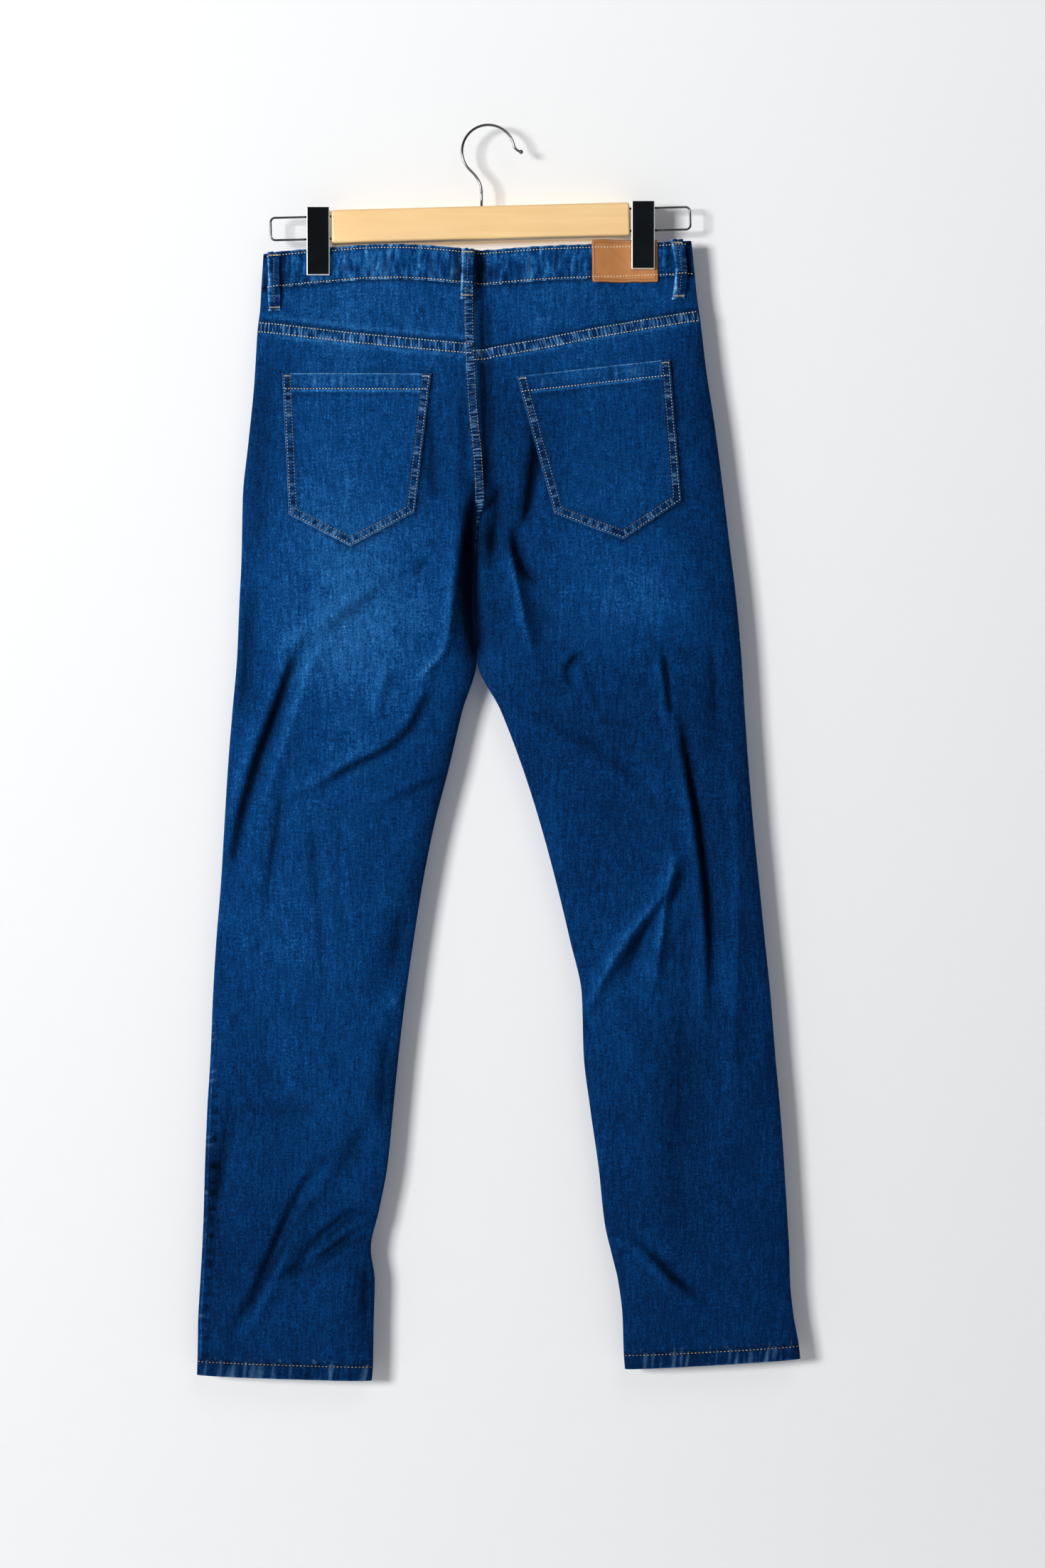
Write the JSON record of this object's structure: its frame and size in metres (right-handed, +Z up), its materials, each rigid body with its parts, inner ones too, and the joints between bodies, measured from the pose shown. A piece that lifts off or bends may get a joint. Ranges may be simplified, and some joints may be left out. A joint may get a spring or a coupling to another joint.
{
  "type": "slim fit jeans on a wooden clip hanger",
  "caption": "Slim denim jeans with yoke, back pockets and bare patch, hung by the waistband from a wooden bar hanger with sliding clips and a wire hook.",
  "frame": {"origin": "underside of the top of the hanger hook's bow, where a rail holds it", "axes": "+Z up, +X to the right of someone who looks at the back of the jeans, the back (seat and back pockets) towards -Y, the front (fly) towards +Y"},
  "size_m": [0.526, 0.0396, 1.0957],
  "materials": {
    "denim": "washed blue stretch denim twill, faded at the seat and thighs",
    "leather": "matt tan leather, bare",
    "wood": "pale clear-lacquered wood",
    "steel": "polished steel",
    "button_metal": "plain worn metal, no mark"
  },
  "bodies": {
    "root": {"back_panel_left": "denim", "back_panel_right": "denim", "back_pocket_left": "denim", "back_pocket_right": "denim", "belt_loop_back": "denim", "belt_loop_front_left": "denim", "belt_loop_front_right": "denim", "belt_loop_side_left": "denim", "belt_loop_side_right": "denim", "button": "button_metal", "clip_left_back": "steel", "clip_left_front": "steel", "clip_left_saddle": "steel", "clip_rail_left": "steel", "clip_rail_right": "steel", "clip_right_back": "steel", "clip_right_front": "steel", "clip_right_saddle": "steel", "fly": "denim", "front_panel_left": "denim", "front_panel_right": "denim", "hanger_bar": "wood", "hanger_hook": "steel", "hem_left": "denim", "hem_right": "denim", "leather_patch": "leather", "pocket_facing_left": "denim", "pocket_facing_right": "denim", "waistband_back": "denim", "waistband_front_left": "denim", "waistband_front_right": "denim", "yoke_left": "denim", "yoke_right": "denim"}
  },
  "joints": []
}
